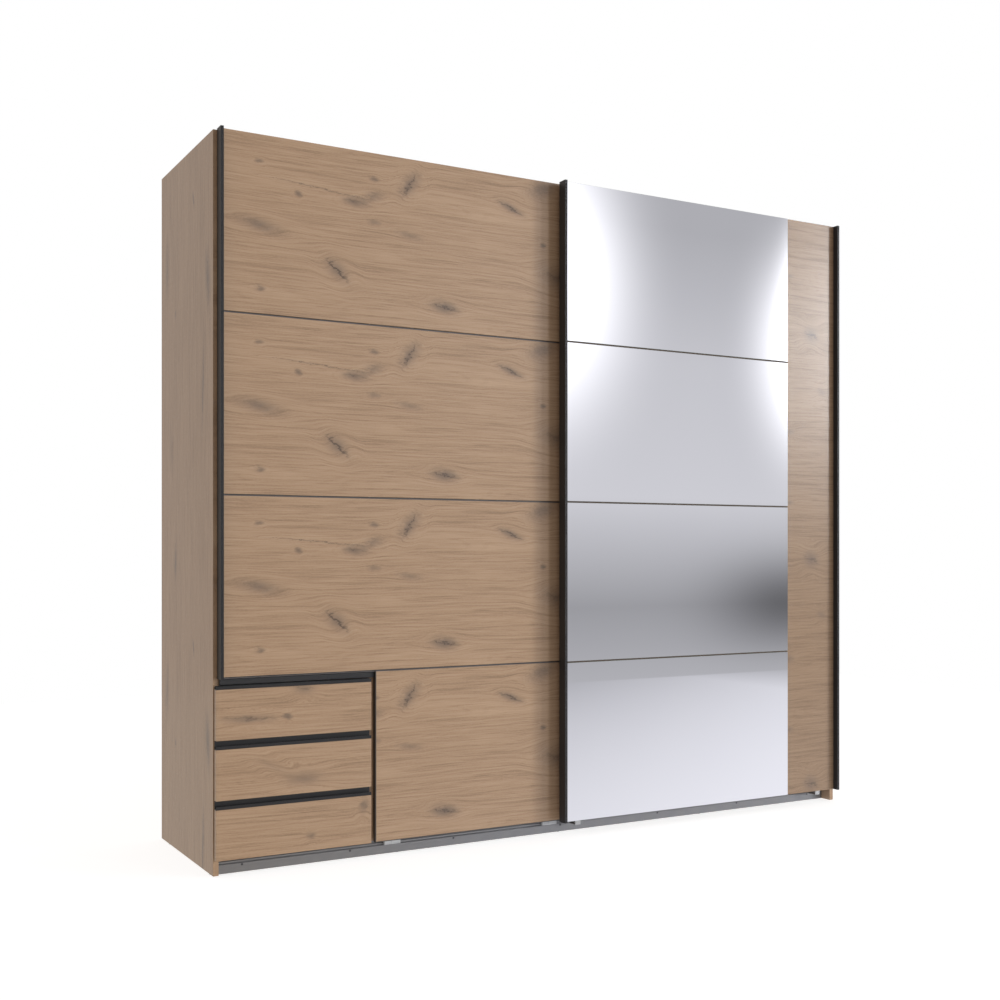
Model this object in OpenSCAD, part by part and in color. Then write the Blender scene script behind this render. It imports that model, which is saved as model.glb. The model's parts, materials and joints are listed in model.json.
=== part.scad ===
// Sliding door wardrobe: two hanging doors on a double top track, one with a drawer cut-out and one with
// mirrors, and a stack of three drawers at the lower left. +X right, +Y to the wall, +Z up, floor at Z = 0.

/* [Overall] */
// Width over the two side panels
width = 2250; // [1900:10:2700]
// Depth from the wall to the front of the outer door's grips
depth = 650; // [600:5:780]
// Height to the top of the outer door's hangers
height = 2080; // [1800:10:2500]

/* [Carcass] */
// Thickness of the carcass boards
board = 16; // [15:1:19]
// Thickness of the hardboard back sheets
back_t = 3; // [2.5:0.5:4]
// Thickness of the plastic glides under the uprights
glide_h = 3; // [2:0.5:6]
// Height of the underside of the bottom panels
plinth_top = 46; // [44:1:70]
// Space above the top panels for the track and the wheels
track_space = 40; // [38:1:60]
// Clear height of the hat space over the shelves
hat_space = 312; // [250:1:600]
// Setback of the centre partition and shelves behind the inner door
inner_setback = 31; // [20:1:60]
// Outer radius of the clothes rails
rod_r = 12.5; // [10:0.5:15]
// Drop of the clothes rails' axis below the shelves
rod_drop = 70; // [50:1:120]

/* [Doors] */
// Thickness of the door leaves
leaf_t = 16; // [15:1:19]
// Distance between the two leaves, back to face
leaf_gap = 18; // [16:1:30]
// Overlap of the closed doors
door_overlap = 67; // [40:1:120]
// Distance from a door's outer edge to the outside of the carcass
side_reveal = 10; // [4:1:12]
// How far the doors' bottom edge is above the plinth
door_lift = 1; // [1:1:8]
// Height of the joint between two panels
joint_h = 5; // [4:0.5:8]
// Width of the grip bars
grip_w = 9; // [7:0.5:14]
// How far the grip bars stand out from the leaf
grip_proud = 22; // [15:1:30]
// Wall of the grip bars
grip_wall = 1.5; // [1.2:0.1:2]
// Thickness of the mirrors
mirror_t = 4; // [3:0.5:6]
// Width of the oak strip beside the mirrors
strip_w = 216; // [120:1:400]

/* [Door hardware] */
// Radius of the track wheels
wheel_r = 14; // [10:0.5:16]
// Width of the track wheels
wheel_w = 8; // [6:0.5:10]
// Radius of the wheel axles
axle_r = 3; // [2.5:0.25:4]
// Distance from a door's end to its hangers
hanger_inset = 90; // [60:1:200]
// Thickness of the hangers' steel
steel_t = 2; // [1.5:0.25:3]
// Width of the hangers
hanger_w = 56; // [40:1:80]
// Distance between the two runways of the track
runway_pitch = 38; // [34:1:60]
// Width of the inner door's floor guides
guide_w = 51; // [30:1:70]

/* [Drawers] */
// Width of the drawer fronts
front_w = 458; // [380:1:520]
// Thickness of the drawer fronts
front_t = 16; // [15:1:19]
// Height of the lip of a drawer grip
lip_h = 9; // [8:0.5:14]
// Height of the finger gap over a lip
finger_h = 16; // [14:1:26]
// Thickness of the grip profile
grip_t = 2; // [1.2:0.1:2.5]
// Space for a runner beside a drawer box
runner_gap = 12.5; // [12.5:0.5:14]
// Depth of the drawer boxes
box_depth = 450; // [380:1:500]
// Thickness of the box sides
box_t = 12; // [10:1:15]
// Height of the box sides
box_h = 104; // [80:1:110]
// Thickness of the drawer bottoms
bottom_t = 3; // [3:0.5:4]
// Radius of the drawer rollers
roller_r = 8.8; // [7:0.1:9.5]

/* [Hidden] */
$fn = 48;
eps = 0.01;
panel_n = 4;          // panels in a door's height
drawer_n = 3;

// Clearances
slide_clear = 1.5;    // between a moving door and a fixed board
wheel_clear = 0.2;    // between a wheel and what it rolls on
bore_clear = 0.05;    // radial, a wheel on its axle
butt = 0.1;           // between two boards that butt
leaf_clear = 7;       // from the outer leaf back to the right side panel
hanger_clear = 4;     // behind the steel of the inner door's hangers
arm_clear = 2;        // from the doors' top edge up to the outer hangers' arms
side_drop = 2;        // from the doors' top edge down to that of the side panels
grip_stop = 7.5;      // left between the grips when one door is slid behind or before the other

// Planes across the width
x0 = -width / 2;
x1 = width / 2;
in0 = x0 + board;
in1 = x1 - board;
door_w = (width - 2 * side_reveal + door_overlap) / 2;
ld0 = x0 + side_reveal;             // left door
ld1 = ld0 + door_w;
rd1 = x1 - side_reveal;             // right door
rd0 = rd1 - door_w;

// Planes from front to back
y0 = -depth / 2;
y1 = depth / 2;
outer_y = y0 + grip_proud;          // outer leaf: face and back
outer_b = outer_y + leaf_t;
inner_y = outer_b + leaf_gap;       // inner leaf: face and back
inner_b = inner_y + leaf_t;
left_front = inner_b + slide_clear;
right_front = outer_b + leaf_clear;
panel_front = inner_b + steel_t + hanger_clear;      // top panels
part_front = inner_b + inner_setback;
joiner_t = 1;
back_y = y1 - joiner_t - back_t;    // front of the back sheets
shelf_back = back_y - joiner_t;

// Levels
door_z = plinth_top + door_lift;
door_top = height - steel_t - arm_clear;
side_top = door_top - side_drop;
cap_z = side_top - track_space;     // upper face of the top panels
shelf_z = cap_z - board - hat_space;
floor_z = plinth_top + board;       // upper face of the bottom panels
panel_h = (door_top - door_z - (panel_n - 1) * joint_h) / panel_n;
function panel_z(i) = door_top - i * panel_h - (i - 1) * joint_h;   // i = 1 is the top panel
cut_z = panel_z(panel_n - 1) - joint_h;                             // top of the drawer cut-out

// Track
track_t = 2;
rib_h = 6;
rib_t = 1.6;
rib_clear = 0.6;      // between a wheel's side and a rib
track_front = 10;     // from the track's front edge to the front runway
track_rear = 12;      // from the rear runway to the track's rear edge
track_inset = 2;
track_y0 = panel_front + track_inset;
runway_1 = track_y0 + track_front;
runway_2 = runway_1 + runway_pitch;
track_y1 = runway_2 + track_rear;
run_z = cap_z + track_t;
axle_z = run_z + wheel_clear + wheel_r;
hanger_h = 82;
hanger_top = door_top - 6;
buffer_l = 16;
buffer_h = 10;
buffer_clear = 0.5;   // between a wheel and its stop, at the end of a door's travel
travel = door_w - door_overlap - grip_w - grip_stop;

// Floor rail on the plinth
rail_t = 9;
rail_back = 16;                     // from the back of the inner leaf to the rail's face
rail_y = inner_b + rail_back;
plinth_y = rail_y + rail_t;
rear_inset = 60;                    // from the rear edge of the boards to the rear plinth
rear_plinth_y = back_y - joiner_t - rear_inset;
slot_d = 6;
slot_clear = 1;                     // around a guide's tongue
inner_slot = [plinth_top - 9, 6];   // lower edge and height of each slot
outer_slot = [plinth_top - 17, 4];
rail_step_z = plinth_top - 28;      // top of the shallow step along the rail's foot
rail_step = 1.5;
screw_z = plinth_top - 21.5;
screw_inset = 86;
screw_shares = [0, 0.155, 0.317, 0.5, 0.683, 0.845, 1];
screw_head_r = 3.4;
screw_head_y = 0.4;                 // depth of a head's face in the rail
screw_head_t = 1.6;
screw_recess = 2;
screw_r = 1.75;
screw_l = 22;
cross_w = 3.2;                      // arms of the cross in a head
cross_t = 0.7;
cross_d = 1.2;

// Drawer unit
front_proud = 5;                    // how far the fronts stand before the inner leaf
front_reveal = 2;                   // from the outside of the carcass to the fronts
cut_gap = 15;                       // from the fronts to the door's lower panel
front_lift = 1;                     // from the doors' bottom edge to that of the lowest front
stack_gap = 2.5;                    // over the uppermost grip
box_lift = 4;                       // from the bottom panel to the lowest box
sheet_up = 12;                      // from a box's lower edge to its bottom sheet
groove_d = 6;
front_y = inner_y - front_proud;
front_b = front_y + front_t;
fx0 = x0 + front_reveal;
fx1 = fx0 + front_w;
cut_x = fx1 + cut_gap;
us0 = cut_x - board;                // drawer unit's side board
unit_top_z = cut_z - slide_clear;
unit_under = unit_top_z - board;
recess_y = front_b - grip_t;        // back of the finger recess
drawers_z0 = door_z + front_lift;
drawers_z1 = unit_under - stack_gap;
wood_h = (drawers_z1 - drawers_z0 - drawer_n * lip_h - (drawer_n - 1) * finger_h) / drawer_n;
drawer_pitch = wood_h + lip_h + finger_h;
function drawer_z(n) = drawers_z1 - lip_h - wood_h - (n - 1) * drawer_pitch;   // n = 1 is the top drawer
box_up = floor_z + box_lift - drawers_z0;  // from a front's lower edge to its box's

// Runners: sizes from the cabinet runner's lower edge
run_t = 1.2;
runner_up = 10;       // from a box's lower edge
runner_clear = 0.8;   // between the two runners of a pair
flange_clear = 0.3;   // between a roller and the drawer runner's flange
flange_room = 2.5;    // over that flange
web_drop = 6;         // how far the drawer runner's web hangs below the rollers' axis
roller_z = run_t + wheel_clear + roller_r;
flange_z = roller_z + roller_r + flange_clear;
chan_h = flange_z + 2 * run_t + flange_room;
chan_w = runner_gap - run_t - runner_clear;
roller_w = 6;
roller_x = 3;
roller_inset = [11, 14];            // from the front and the rear end of the runners
runner_axle_r = 2;
axle_end = 0.6;
runner_y0 = left_front + 4;
runner_y1 = front_b + box_depth;
front_roller_y = runner_y0 + roller_inset[0];
rear_roller_y = runner_y1 - roller_inset[1];
function runner_z(n) = drawer_z(n) + box_up + runner_up;

// Inside
sheet_gap = 2;                      // between two back sheets
sheet_inset = 2;                    // from the outside of the carcass to the back sheets
sheet_x = [x0 + sheet_inset, x0 / 2, 0, x1 / 2, x1 - sheet_inset];
joiner_w = 22;
pin_r = 3;
pin_l = 8;
pin_pad = [2, 14, 7];
pin_inset = 50;
rod_z = shelf_z - board - rod_drop;
rod_y0 = (part_front + shelf_back) / 2;
rod_wall = 1.2;
socket_t = 2;                       // floor of a cup; its plate is as thick
socket_l = 10;
socket_wall = 3;
socket_plate = 9;                   // how far the plate reaches around the rail

// Feet
glide_r = 7.5;
glide_taper = 2;
glide_inset = [70, 90];             // from the front and the rear of the side panels

// Wall brackets and their fixing holes
bracket_x = 700;
bracket_l = 40;
bracket_w = 30;
bracket_h = 36;
hole_r = 3;
hole_up = 24;

// Left door
trim_t = 2;
trim_proud = 0.8;
stile_t = 1.5;
stile_lap = 18;       // how far the stile laps the leaf's face
stile_proud = 1.2;
strip_t = 4;          // front layer of the strips between the panels
strip_drop = 2;       // how far that layer is below the panel over it
guide_inset = [61, 82];             // guides' middles from the cut-out and from the right edge
guide_t = 3;
guide_z = plinth_top - 13;
guide_up = 38;        // how far a guide's plate laps the leaf
guide_rim = 2.5;
guide_recess = 1.5;

// Right door
mirror_inset = 0.2;
angle_inset = 70;     // steel floor guides' middles from the door's edges
angle_w = 20;
angle_up = 60;        // how far they lap the leaf
angle_lift = 0.8;     // from the slot's lower edge to their toes

// Wheels and axles
head_over = 2.5;      // how far an axle's head reaches over its axle
head_t = 1.5;
hub_w = 4;            // wheel's recess around the axle
hub_d = 1;
hanger_lift = 1.2;    // from the track's ribs up to the outer hangers
wheel_gap = 0.4;      // between a wheel and the head of its axle
wheel_1_y = runway_1 - wheel_w / 2;
wheel_2_y = runway_2 - wheel_w / 2;

// Colours
oak = [0.64, 0.53, 0.43];
black = [0.13, 0.13, 0.13];
alu = [0.66, 0.67, 0.69];
white = [0.9, 0.9, 0.88];
grey = [0.62, 0.62, 0.62];

// A board between two corners
module slab(a, b) {
    translate(a) cube(b - a);
}

// A cylinder along +X or +Y from a point
module rod_x(p, r, l) {
    translate(p) rotate([0, 90, 0]) cylinder(r = r, h = l);
}
module rod_y(p, r, l) {
    translate(p) rotate([-90, 0, 0]) cylinder(r = r, h = l);
}

// Draws its children and their mirror image across the plane X = c
module both_sides(c) {
    children();
    translate([2 * c, 0, 0]) mirror([1, 0, 0]) children();
}

// ---- Carcass ----

module left_side_panel() {
    color(oak) slab([x0, left_front, glide_h], [in0, back_y, side_top]);
}

module right_side_panel() {
    color(oak) slab([in1, right_front, glide_h], [x1, back_y, side_top]);
}

module centre_partition() {
    color(oak) slab([-board / 2, part_front, floor_z], [board / 2, back_y, cap_z - board]);
}

// One board over each compartment, butted over the partition
module top_panels() {
    color(oak) {
        slab([in0, panel_front, cap_z - board], [-butt, shelf_back, cap_z]);
        slab([butt, panel_front, cap_z - board], [in1, shelf_back, cap_z]);
    }
}

module bottom_panels() {
    color(oak) {
        slab([in0, rail_y, plinth_top], [-butt, shelf_back, floor_z]);
        slab([butt, rail_y, plinth_top], [in1, shelf_back, floor_z]);
    }
}

module screw_rows() {
    span = in1 - in0 - 2 * (screw_inset - board);
    for (u = screw_shares)
        translate([in0 + screw_inset - board + u * span, 0, screw_z]) children();
}

// Front and rear plinth boards and a middle one under the partition
module plinth_boards() {
    color(oak) {
        difference() {
            slab([in0, plinth_y, glide_h], [in1, plinth_y + board, plinth_top]);
            screw_rows() rod_y([0, rail_y, 0], screw_r + bore_clear, screw_l + bore_clear);
        }
        slab([in0, rear_plinth_y, glide_h], [in1, rear_plinth_y + board, plinth_top]);
        slab([-board / 2, plinth_y + board + butt, glide_h], [board / 2, rear_plinth_y - butt, plinth_top]);
    }
}

// Two hardboard sheets behind each compartment
module back_panels() {
    color(white) for (i = [0:3])
        slab([sheet_x[i] + (i == 0 ? 0 : sheet_gap / 2), back_y, plinth_top],
             [sheet_x[i + 1] - (i == 3 ? 0 : sheet_gap / 2), y1 - joiner_t, cap_z]);
}

// H-section strips that hold neighbouring sheets together
module back_joiners() {
    color(white) for (i = [1, 3]) translate([sheet_x[i], 0, 0]) {
        slab([-joiner_w / 2, back_y - joiner_t, floor_z], [joiner_w / 2, back_y, cap_z - board]);
        slab([-joiner_w / 2, y1 - joiner_t, floor_z], [joiner_w / 2, y1, cap_z - board]);
        slab([-sheet_gap / 2, back_y - eps, floor_z], [sheet_gap / 2, y1 - joiner_t + eps, cap_z - board]);
    }
}

module hat_shelves() {
    color(oak) {
        slab([in0, part_front, shelf_z - board], [-board / 2, shelf_back, shelf_z]);
        slab([board / 2, part_front, shelf_z - board], [in1, shelf_back, shelf_z]);
    }
}

// Steel shelf supports: a pad under the shelf against the upright
module shelf_pins() {
    color(alu) for (c = [-1, 1], y = [part_front + pin_inset, shelf_back - pin_inset])
        both_sides(c * (in1 + board / 2) / 2)
            translate([c > 0 ? board / 2 : in0, y, shelf_z - board]) {
                rod_x([0, 0, -pin_l / 2], pin_r, pin_l);
                slab([0, -pin_pad.y / 2, -pin_pad.z], [pin_pad.x, pin_pad.y / 2, -eps]);
            }
}

module clothes_rails() {
    color(alu) for (x = [[in0, -board / 2], [board / 2, in1]])
        difference() {
            rod_x([x[0] + socket_t, rod_y0, rod_z], rod_r, x[1] - x[0] - 2 * socket_t);
            rod_x([x[0], rod_y0, rod_z], rod_r - rod_wall, x[1] - x[0]);
        }
}

// Cups on the uprights that the clothes rails sit in
module rail_sockets() {
    color(alu) for (c = [-1, 1])
        both_sides(c * (in1 + board / 2) / 2)
            translate([c > 0 ? board / 2 : in0, rod_y0, rod_z]) difference() {
                union() {
                    rod_x([0, 0, 0], rod_r + socket_plate, socket_t);
                    rod_x([0, 0, 0], rod_r + socket_wall, socket_t + socket_l);
                }
                rod_x([socket_t, 0, 0], rod_r + bore_clear, socket_t + socket_l);
            }
}

// ---- Track, floor rail and stops ----

module top_track() {
    color(alu) {
        slab([in0, track_y0, cap_z], [in1, track_y1, run_z]);
        for (y = [runway_1, runway_2], s = [-1, 1])
            translate([0, y + s * (wheel_w / 2 + rib_clear + rib_t / 2), run_z - eps])
                slab([in0, -rib_t / 2, 0], [in1, rib_t / 2, rib_h]);
    }
}

// Rubber stops at both ends of each runway
module track_buffers() {
    reach = wheel_r + buffer_clear;
    near = [ld0 + hanger_inset - reach, ld1 - hanger_inset + reach + travel];
    color(black) for (s = [-1, 1]) {
        y = s < 0 ? runway_1 : runway_2;
        translate([0, y, 0]) {
            slab([s < 0 ? near[0] - buffer_l : -near[1] - buffer_l, -wheel_w / 2, run_z],
                 [s < 0 ? near[0] : -near[1], wheel_w / 2, run_z + buffer_h]);
            slab([s < 0 ? near[1] : -near[0], -wheel_w / 2, run_z],
                 [(s < 0 ? near[1] : -near[0]) + buffer_l, wheel_w / 2, run_z + buffer_h]);
        }
    }
}

// Aluminium rail on the face of the plinth, with one slot for each door's guides
module bottom_rail() {
    color(alu) difference() {
        slab([in0, rail_y, glide_h], [in1, plinth_y, plinth_top]);
        for (s = [inner_slot, outer_slot])
            slab([in0 - 1, rail_y - 1, s[0]], [in1 + 1, rail_y + slot_d, s[0] + s[1]]);
        slab([in0 - 1, rail_y - 1, 0], [in1 + 1, rail_y + rail_step, rail_step_z]);
        screw_rows() {
            rod_y([0, rail_y - 1, 0], screw_head_r + bore_clear, 1 + screw_recess);
            rod_y([0, rail_y, 0], screw_r + bore_clear, rail_t + 1);
        }
    }
}

module rail_screws() {
    color(alu) screw_rows() difference() {
        union() {
            rod_y([0, rail_y + screw_head_y, 0], screw_head_r, screw_head_t);
            rod_y([0, rail_y + 1, 0], screw_r, screw_l - 1);
        }
        for (a = [0, 90]) rotate([0, a, 0])
            slab([-cross_w / 2, rail_y, -cross_t / 2], [cross_w / 2, rail_y + cross_d, cross_t / 2]);
    }
}

// ---- Drawer unit in the left compartment ----

module drawer_unit_top() {
    color(black) slab([in0, recess_y, unit_under], [cut_x, shelf_back, unit_top_z]);
}

module drawer_unit_side() {
    color(oak) slab([us0, left_front, floor_z], [cut_x, shelf_back, unit_under]);
}

// One channel on a board whose face is the plane X = 0, with the axle of the front roller
module cabinet_runner() {
    slab([0, runner_y0, 0], [run_t, runner_y1, chan_h]);
    slab([0, runner_y0, 0], [chan_w, runner_y1, run_t]);
    slab([0, runner_y0, chan_h - run_t], [chan_w, runner_y1, chan_h]);
    rod_x([run_t - eps, front_roller_y, roller_z], runner_axle_r, roller_x + roller_w + runner_clear - run_t);
}

module cabinet_runners() {
    color(white) for (n = [1:drawer_n])
        both_sides((in0 + us0) / 2) translate([in0, 0, runner_z(n)]) cabinet_runner();
}

// ---- Feet and wall fixings ----

module glide(x, y) {
    translate([x, y, 0]) cylinder(r1 = glide_r - glide_taper, r2 = glide_r, h = glide_h);
}

module floor_glides() {
    color(black) {
        for (x = [x0 + board / 2, x1 - board / 2], y = [right_front + glide_inset[0], y1 - glide_inset[1]])
            glide(x, y);
        for (x = [x0 / 2, 0, x1 / 2], y = [plinth_y, rear_plinth_y]) glide(x, y + board / 2);
    }
}

// Steel angles on the top panels, screwed to the wall against tipping
module wall_brackets() {
    color(alu) for (s = [-1, 1]) translate([s * bracket_x, 0, cap_z]) difference() {
        union() {
            slab([-bracket_w / 2, y1 - bracket_l, 0], [bracket_w / 2, y1, steel_t]);
            slab([-bracket_w / 2, y1 - steel_t, 0], [bracket_w / 2, y1, bracket_h]);
        }
        rod_y([0, y1 - steel_t - 1, hole_up], hole_r, steel_t + 2);
    }
}

// ---- Left door, in the inner plane, with a cut-out for the drawers ----

module left_door_panel(i) {
    bottom = i == panel_n;
    xa = bottom ? cut_x + trim_t : ld0 + grip_wall;
    za = bottom ? door_z + trim_t : panel_z(i);
    color(oak) slab([xa, inner_y, za], [ld1 - stile_t, inner_b, panel_z(i) + panel_h]);
}

// Strips between the panels, and edgings on the lower panel
module left_door_profiles() {
    color(alu) {
        for (i = [1:panel_n - 1]) translate([0, 0, panel_z(i) - joint_h]) {
            slab([ld0 + grip_wall, inner_y + strip_t, 0], [ld1 - stile_t, inner_b, joint_h]);
            slab([ld0 + grip_wall, inner_y, 0],
                 [ld1 - stile_t, inner_y + strip_t + eps, joint_h - strip_drop]);
        }
        slab([cut_x, inner_y - trim_proud, door_z], [cut_x + trim_t, inner_b, cut_z - butt]);
        slab([cut_x + trim_t + butt, inner_y - trim_proud, door_z],
             [ld1 - stile_t, inner_b, door_z + trim_t]);
    }
}

// A hollow bar with a web behind it, on a leaf whose face is at Y = 0 and whose edge is at X = 0
module grip(l) {
    linear_extrude(l) {
        difference() {
            translate([0, -grip_proud]) square([grip_w, grip_proud]);
            translate([grip_wall, grip_wall - grip_proud])
                square([grip_w - 2 * grip_wall, grip_proud - 2 * grip_wall]);
        }
        translate([0, -eps]) square([grip_wall, leaf_t - 2]);
    }
}

module left_door_grip() {
    color(black) translate([ld0, inner_y, cut_z]) grip(door_top - cut_z);
}

// Edge profile on the side that hides behind the other door
module left_door_stile() {
    color(alu) {
        slab([ld1 - stile_t, inner_y - stile_proud, door_z], [ld1, inner_b, door_top]);
        slab([ld1 - stile_lap, inner_y - stile_proud, door_z],
             [ld1 - stile_t + eps, inner_y - trim_proud, door_top]);
    }
}

// Axle with a retaining head, along +Y from a plate
module axle(y, l) {
    rod_y([0, y - eps, axle_z], axle_r, l + eps);
    rod_y([0, y + l - eps, axle_z], axle_r + head_over, head_t);
}

module left_door_hangers() {
    color(alu) for (x = [ld0 + hanger_inset, ld1 - hanger_inset]) translate([x, 0, 0]) {
        slab([-hanger_w / 2, inner_b, hanger_top - hanger_h], [hanger_w / 2, inner_b + steel_t, hanger_top]);
        axle(inner_b + steel_t, wheel_1_y + wheel_w + wheel_gap - inner_b - steel_t);
    }
}

module wheel(x, y) {
    color(black) difference() {
        rod_y([x, y, axle_z], wheel_r, wheel_w);
        rod_y([x, y - 1, axle_z], axle_r + bore_clear, wheel_w + 2);
        rod_y([x, y - 1, axle_z], axle_r + hub_w, 1 + hub_d);
    }
}

module left_door_wheel_1() { wheel(ld0 + hanger_inset, wheel_1_y); }
module left_door_wheel_2() { wheel(ld1 - hanger_inset, wheel_1_y); }

// Plastic guides on the back of the leaf, with a tongue in the rail's upper slot
module left_door_guides() {
    half = guide_w / 2;
    color(grey) for (x = [cut_x + guide_inset[0], ld1 - guide_inset[1]]) translate([x, 0, 0]) difference() {
        union() {
            slab([-half, inner_b, guide_z], [half, inner_b + guide_t, door_z + guide_up]);
            slab([-half, inner_b, guide_z], [half, rail_y - guide_t, plinth_top]);
            slab([-half + guide_t, inner_b, inner_slot[0] + slot_clear],
                 [half - guide_t, rail_y + slot_d - slot_clear, inner_slot[0] + inner_slot[1] - slot_clear]);
        }
        for (s = [-1, 1]) translate([s * half / 2, 0, 0])
            slab([-half / 2 + guide_t, inner_b - 1, guide_z + guide_rim],
                 [half / 2 - guide_t, inner_b + guide_recess, plinth_top - guide_rim]);
    }
}

// ---- Right door, in the outer plane, with mirrors ----

module right_door_leaf() {
    color(oak) slab([rd0 + grip_wall, outer_y, door_z], [rd1 - grip_wall, outer_b, door_top]);
}

module right_door_mirror(i) {
    color([0.85, 0.88, 0.9])
        slab([rd0 + grip_w + mirror_inset, outer_y - mirror_t, panel_z(i)],
             [rd1 - grip_w - strip_w, outer_y, panel_z(i) + panel_h]);
}

module right_door_grips() {
    color(black) both_sides((rd0 + rd1) / 2)
        translate([rd0, outer_y, door_z]) grip(door_top - door_z);
}

// Steel arms from the back of the leaf, over the inner door and down to the rear runway
module right_door_hangers() {
    drop_y = wheel_2_y - hub_d;
    color(alu) for (x = [rd0 + hanger_inset, rd1 - hanger_inset]) translate([x, 0, 0]) {
        slab([-hanger_w / 2, outer_b, hanger_top - hanger_h], [hanger_w / 2, outer_b + steel_t, height]);
        slab([-hanger_w / 2, outer_b, height - steel_t], [hanger_w / 2, drop_y, height]);
        slab([-hanger_w / 2, drop_y - steel_t, run_z + rib_h + hanger_lift], [hanger_w / 2, drop_y, height]);
        axle(drop_y, hub_d + wheel_w + wheel_gap);
    }
}

module right_door_wheel_1() { wheel(rd0 + hanger_inset, wheel_2_y); }
module right_door_wheel_2() { wheel(rd1 - hanger_inset, wheel_2_y); }

// Steel angles that pass under the inner door into the rail's lower slot
module right_door_guides() {
    za = outer_slot[0] + angle_lift;
    half = angle_w / 2;
    color(alu) for (x = [rd0 + angle_inset, rd1 - angle_inset]) translate([x, 0, 0]) {
        slab([-half, outer_b, za], [half, outer_b + steel_t, door_z + angle_up]);
        slab([-half, outer_b, za], [half, rail_y + slot_d - slot_clear, za + steel_t]);
    }
}

// ---- Drawers ----

module drawer_front(n) {
    color(oak) slab([fx0, front_y, drawer_z(n)], [fx1, front_b, drawer_z(n) + wood_h]);
}

// Profile on top of the front: a lip, a floor and the back of the finger recess
module drawer_grip(n) {
    rise = lip_h + (n == 1 ? 1 : finger_h - 1);
    color(black) translate([0, 0, drawer_z(n) + wood_h]) {
        slab([fx0, front_y, 0], [fx1, front_y + grip_t, lip_h]);
        slab([fx0, front_y, 0], [fx1, front_b, grip_t]);
        slab([fx0, recess_y, 0], [fx1, front_b, rise]);
    }
}

// Two sides and a back, with the bottom sheet in a groove
module drawer_box(n) {
    xa = in0 + runner_gap;
    xb = us0 - runner_gap;
    yb = front_b + box_depth;
    z = drawer_z(n) + box_up;
    sheet_z = z + sheet_up;
    color(white) {
        difference() {
            union() {
                slab([xa, front_b, z], [xa + box_t, yb, z + box_h]);
                slab([xb - box_t, front_b, z], [xb, yb, z + box_h]);
            }
            slab([xa + box_t - groove_d, front_b - 1, sheet_z],
                 [xb - box_t + groove_d, yb - box_t, sheet_z + bottom_t]);
        }
        slab([xa + box_t + butt, yb - box_t, z], [xb - box_t - butt, yb, z + box_h]);
        slab([xa + box_t - groove_d + butt, front_b, sheet_z + butt],
             [xb - box_t + groove_d - butt, yb - box_t - butt, sheet_z + bottom_t - butt]);
    }
}

// One runner on the side of a box, measured from the board's face, with the axle of the rear roller
module drawer_runner() {
    slab([runner_gap - run_t, front_b, roller_z - web_drop], [runner_gap, runner_y1, flange_z + run_t]);
    slab([roller_x, front_b, flange_z], [runner_gap, runner_y1, flange_z + run_t]);
    rod_x([roller_x - axle_end, rear_roller_y, roller_z], runner_axle_r,
          runner_gap - run_t - roller_x + axle_end + eps);
}

module drawer_runners(n) {
    color(white) both_sides((in0 + us0) / 2) translate([in0, 0, runner_z(n)]) drawer_runner();
}

// A pair of rollers on one axis, one on each side of the drawer
module rollers(n, y) {
    color(white) both_sides((in0 + us0) / 2) translate([in0 + roller_x, y, runner_z(n) + roller_z])
        difference() {
            rod_x([0, 0, 0], roller_r, roller_w);
            rod_x([-1, 0, 0], runner_axle_r + bore_clear, roller_w + 2);
        }
}

left_side_panel();
right_side_panel();
centre_partition();
top_panels();
bottom_panels();
plinth_boards();
back_panels();
back_joiners();
hat_shelves();
shelf_pins();
clothes_rails();
rail_sockets();
top_track();
track_buffers();
bottom_rail();
rail_screws();
drawer_unit_top();
drawer_unit_side();
cabinet_runners();
floor_glides();
wall_brackets();
left_door_panel(1);  // left_door_panel_1
left_door_panel(2);  // left_door_panel_2
left_door_panel(3);  // left_door_panel_3
left_door_panel(4);  // left_door_panel_4
left_door_profiles();
left_door_grip();
left_door_stile();
left_door_hangers();
left_door_guides();
left_door_wheel_1();
left_door_wheel_2();
right_door_leaf();
right_door_mirror(1);  // right_door_mirror_1
right_door_mirror(2);  // right_door_mirror_2
right_door_mirror(3);  // right_door_mirror_3
right_door_mirror(4);  // right_door_mirror_4
right_door_grips();
right_door_hangers();
right_door_guides();
right_door_wheel_1();
right_door_wheel_2();
drawer_front(1);  // drawer_1_front
drawer_grip(1);  // drawer_1_grip
drawer_box(1);  // drawer_1_box
drawer_runners(1);  // drawer_1_runners
rollers(1, front_roller_y);  // drawer_1_front_rollers
rollers(1, rear_roller_y);  // drawer_1_rear_rollers
drawer_front(2);  // drawer_2_front
drawer_grip(2);  // drawer_2_grip
drawer_box(2);  // drawer_2_box
drawer_runners(2);  // drawer_2_runners
rollers(2, front_roller_y);  // drawer_2_front_rollers
rollers(2, rear_roller_y);  // drawer_2_rear_rollers
drawer_front(3);  // drawer_3_front
drawer_grip(3);  // drawer_3_grip
drawer_box(3);  // drawer_3_box
drawer_runners(3);  // drawer_3_runners
rollers(3, front_roller_y);  // drawer_3_front_rollers
rollers(3, rear_roller_y);  // drawer_3_rear_rollers
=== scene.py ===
import json
import math

import bpy
from mathutils import Matrix, Vector

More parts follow.
